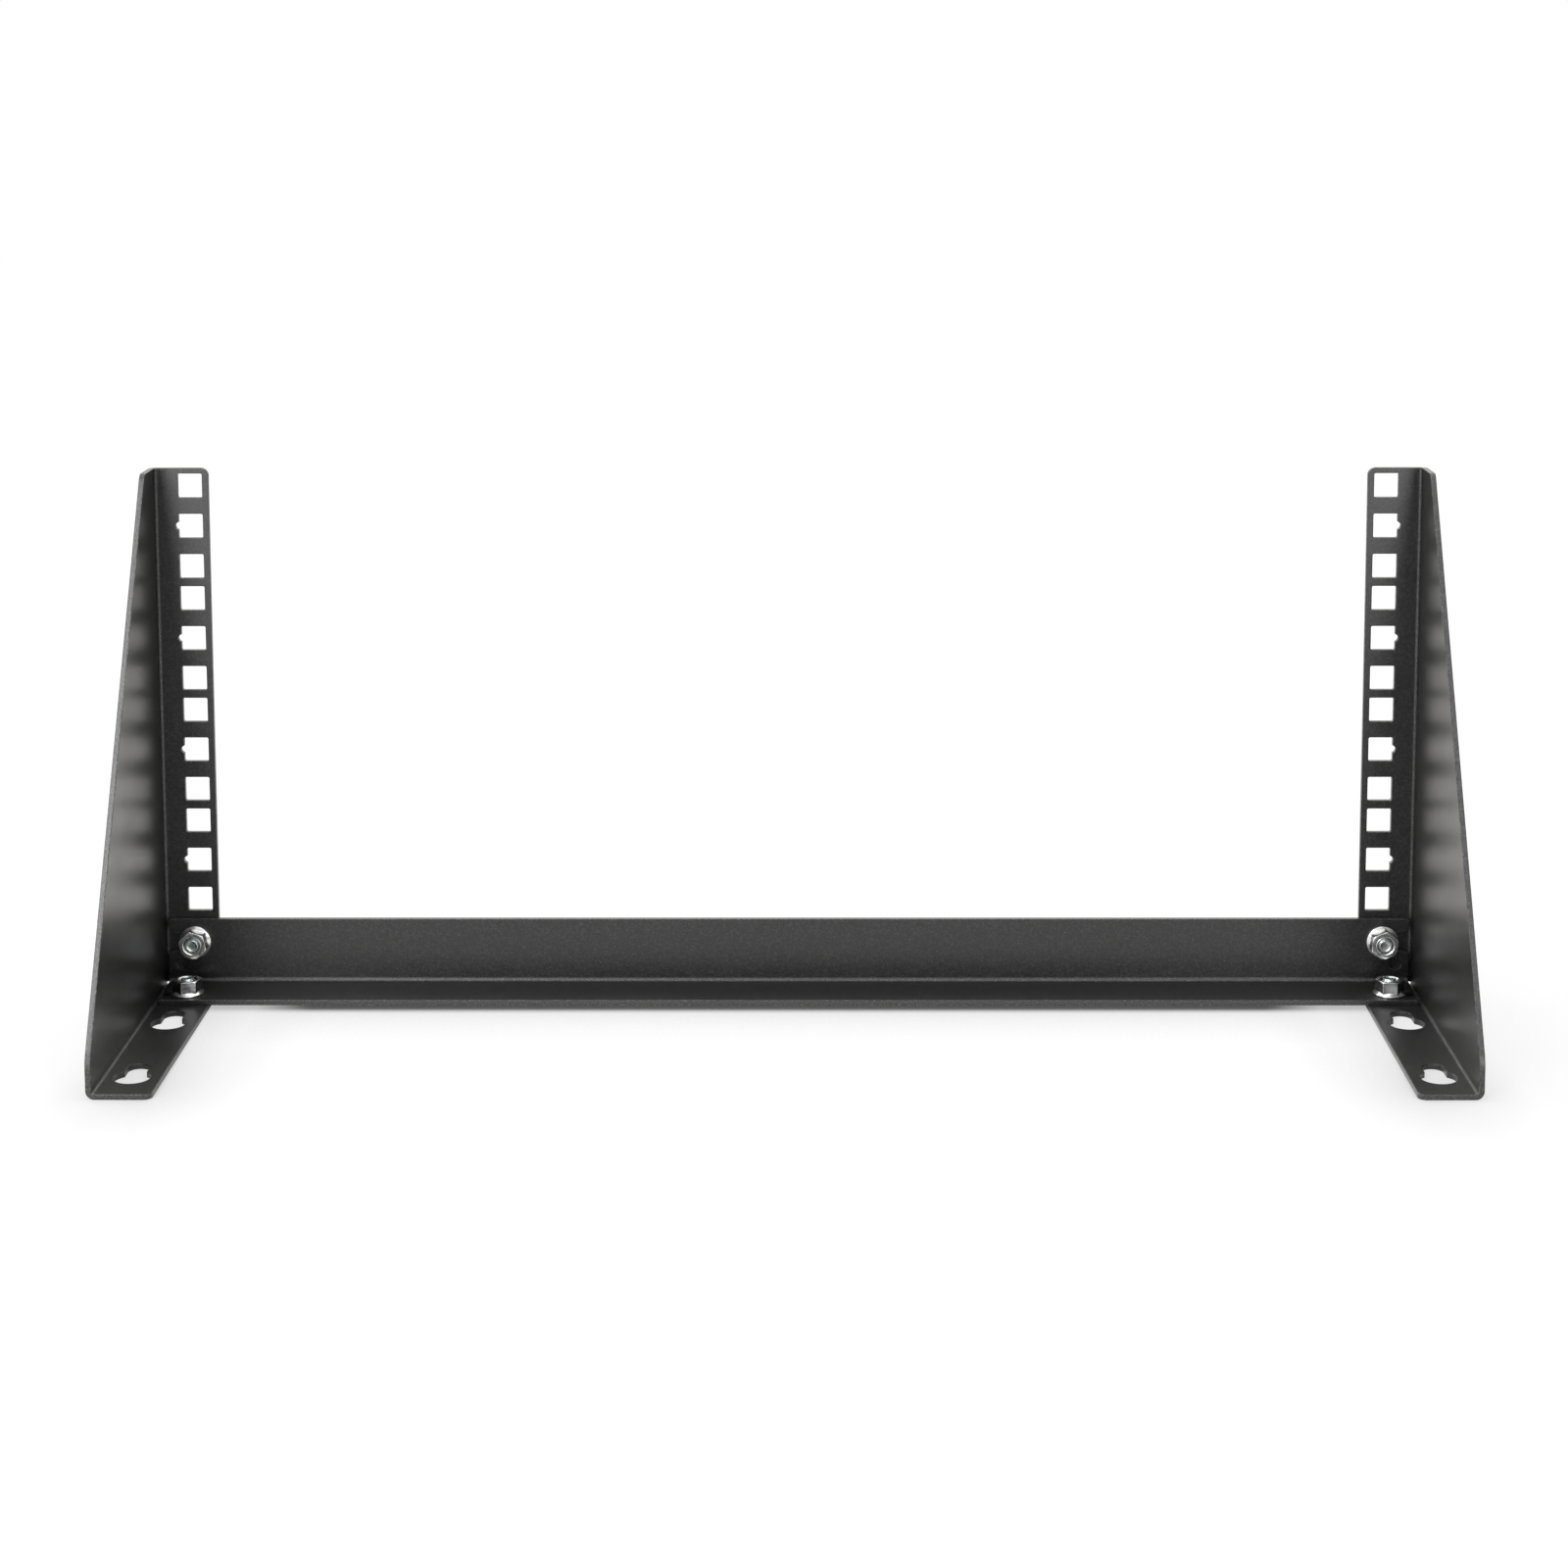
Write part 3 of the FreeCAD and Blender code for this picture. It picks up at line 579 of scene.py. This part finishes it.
# Each pair is a stretch of floor, across or in depth, over which a share changes.
TO_FEET, PAST_FEET = (185 * MM, 207 * MM), (228 * MM, 252 * MM)
HOLES_INNER, HOLES_OUTER = (FLANGE_EDGE_X + 0.5 * MM, FLANGE_EDGE_X + 1.5 * MM), (247 * MM, 246 * MM)
HOLES_ENDS = (62 * MM, 61 * MM)
BEFORE_INNER, BEFORE_OUTER = (196 * MM, 226 * MM), (266 * MM, 244 * MM)
BEFORE_FRONT, BEFORE_BACK = (-110 * MM, -62 * MM), (0.0, -50 * MM)
GLOW_RISES = (350 * MM, 900 * MM)


def open_above(table):
    """One where the floor is open, less where steel near it closes it in: painted contact shadow."""
    side, depth, _ = table.split(table.vector("ABSOLUTE", table.place))
    free = table.node("ShaderNodeAmbientOcclusion", {"samples": 6}, {"Distance": SHADE_REACH}, "AO")
    share = (table.ramp(side, *TO_FEET, 1.0, SHADE_AT_FEET)
             * table.ramp(side, *PAST_FEET, 1.0, SHADE_BESIDE))
    keyholes = (table.ramp(side, *HOLES_INNER) * table.ramp(side, *HOLES_OUTER)
                * table.ramp(depth, *HOLES_ENDS))
    share = share * (1 - keyholes) + keyholes * SHADE_IN_HOLES
    return 1 - share * (1 - free ** SHADE_POWER)


def glow_for_camera(table):
    side = table.split(table.vector("ABSOLUTE", table.place))[0]
    ahead = table.split(table.place)[1]
    far = table.vector("LENGTH", table.place, output="Value")
    base = table.ramp(far, *GLOW_RISES, GLOW_NEAR, GLOW_FAR)
    # Painted shadow: the glow drops a little in front of the feet.
    painted_shadow_before_feet = (table.ramp(ahead, *BEFORE_FRONT, 0.0, SHADE_BEFORE_FEET)
                   * table.ramp(side, *BEFORE_INNER) * table.ramp(side, *BEFORE_OUTER)
                   * table.ramp(ahead, *BEFORE_BACK))
    return larger(base * open_above(table) - painted_shadow_before_feet, GLOW_LEAST)


print("the floor's shade reaches %.0f mm" % (SHADE_REACH / MM))

# %% White floor
FLOOR_WIDTH, FLOOR_DROP = 8.0, 0.05 * MM
MIRROR_BEHIND, MIRROR_BEFORE, MIRROR_UNDER = (0.0, 150 * MM), (-200 * MM, -50 * MM), (50 * MM, 0.0)
FLOOR_WHITE = (0.90, 0.90, 0.90, 1.0)
FLOOR_SEEN = (0.08, 0.08, 0.08, 1.0)
TABLE_WARM = (1.0, 0.95, 0.86, 1.0)
WHITE = (1.0, 1.0, 1.0, 1.0)
GLOW_BEHIND, GLOW_BEFORE = 0.36, 0.12


def make_floor():
    mesh = bmesh.new()
    bmesh.ops.create_grid(mesh, x_segments=8, y_segments=8, size=FLOOR_WIDTH / 2)
    bmesh.ops.translate(mesh, verts=mesh.verts, vec=(0, 0, -FLOOR_DROP))
    floor = object_from(mesh, "white_table")
    table = Finish("white_table")
    seen, mirrored = table.rays()
    ahead = table.split(table.place)[1]
    behind = table.ramp(ahead, *MIRROR_BEHIND, 0.0, GLOW_BEHIND)
    before = table.ramp(ahead, *MIRROR_BEFORE) * table.ramp(ahead, *MIRROR_UNDER, 0.0, GLOW_BEFORE)
    shaders = []
    for paint, tint, strength in ((FLOOR_WHITE, TABLE_WARM, mirrored * (behind + before)),
                                  (FLOOR_SEEN, WHITE, glow_for_camera(table))):
        matt = table.node("ShaderNodeBsdfDiffuse", None, {"Color": paint})
        light = table.node("ShaderNodeEmission", None, {"Color": tint, "Strength": strength})
        shaders.append(table.node("ShaderNodeAddShader", None, {0: matt, 1: light}))
    mixed = table.node("ShaderNodeMixShader", None, {0: seen, 1: shaders[0], 2: shaders[1]})
    floor.data.materials.append(table.finish(mixed))


make_floor()
print("floor %.0f m wide" % FLOOR_WIDTH)

# %% [markdown]
# ## Studio
#
# Beyond the floor's edge is the world. It is white for the camera, and no light comes from it to
# dull surfaces: the lamps give that. Shiny ones mirror it, and what they mirror is a white room, a
# little warm behind, and dark on the right.

# %% White world
WALL_WARM = (1.0, 0.975, 0.925, 1.0)
DARK_SIDE = 0.25


def make_world():
    world = bpy.data.worlds.new("white_studio")
    bpy.context.scene.world = world
    world.use_nodes = True
    studio = NodeTree(world.node_tree)
    seen, mirrored = studio.rays()
    right, behind, _ = studio.split(studio.node("ShaderNodeTexCoord", output="Generated"))
    wall = studio.blend(studio.ramp(behind, 0.2, 0.7) * mirrored, WHITE, WALL_WARM)
    open_side = studio.ramp(right, 0.5, 0.85, 1.0, DARK_SIDE)
    sky = studio.node("ShaderNodeBackground", None,
                      {"Color": wall, "Strength": seen + mirrored * open_side})
    studio.show(sky, "ShaderNodeOutputWorld")


make_world()
print("world ready")

# %% [markdown]
# ## Lamps
#
# The tones of the photograph tell where its lamps stood. Each rail is bright at the top and dark at
# its foot, so two small lamps low in front shine past the narrow top of the side plates. The cut
# edge of the left plate is brighter than that of the right one: the strongest lamp stands high in
# front on the left. Lamps behind light the plates, and a large box above fills the rest.

# %% Softboxes
# Each lamp's name, its place and width in metres, and its power in watts.
SOFTBOXES = (
    ("low_left_softbox", (-0.6, -1.1, 0.2), 0.4, 2.9),
    ("low_right_softbox", (0.6, -1.1, 0.2), 0.4, 2.8),
    ("high_left_softbox", (-0.8, -1.0, 1.0), 0.7, 12.2),
    ("high_right_softbox", (0.8, -1.0, 1.0), 0.7, 2.2),
    ("back_left_softbox", (-1.0, 0.6, 0.6), 0.8, 8.8),
    ("back_softbox", (0, 1.0, 1.0), 0.9, 7.4),
    ("top_softbox", (0, -0.1, 1.3), 1.2, 6.8),
)
LAMP_TARGET = Vector((0, 0, 0.1))


def add_softbox(name, place, width, watts):
    lamp = bpy.data.lights.new(name, "AREA")
    lamp.shape = "SQUARE"
    lamp.size = width
    lamp.energy = watts
    box = bpy.data.objects.new(name, lamp)
    bpy.context.scene.collection.objects.link(box)
    box.location = place
    box.rotation_mode = "QUATERNION"
    box.rotation_quaternion = (LAMP_TARGET - Vector(place)).to_track_quat("-Z", "Y")


for softbox in SOFTBOXES:
    add_softbox(*softbox)
bpy.context.scene.view_settings.view_transform = "Standard"
print("%d softboxes" % len(SOFTBOXES))
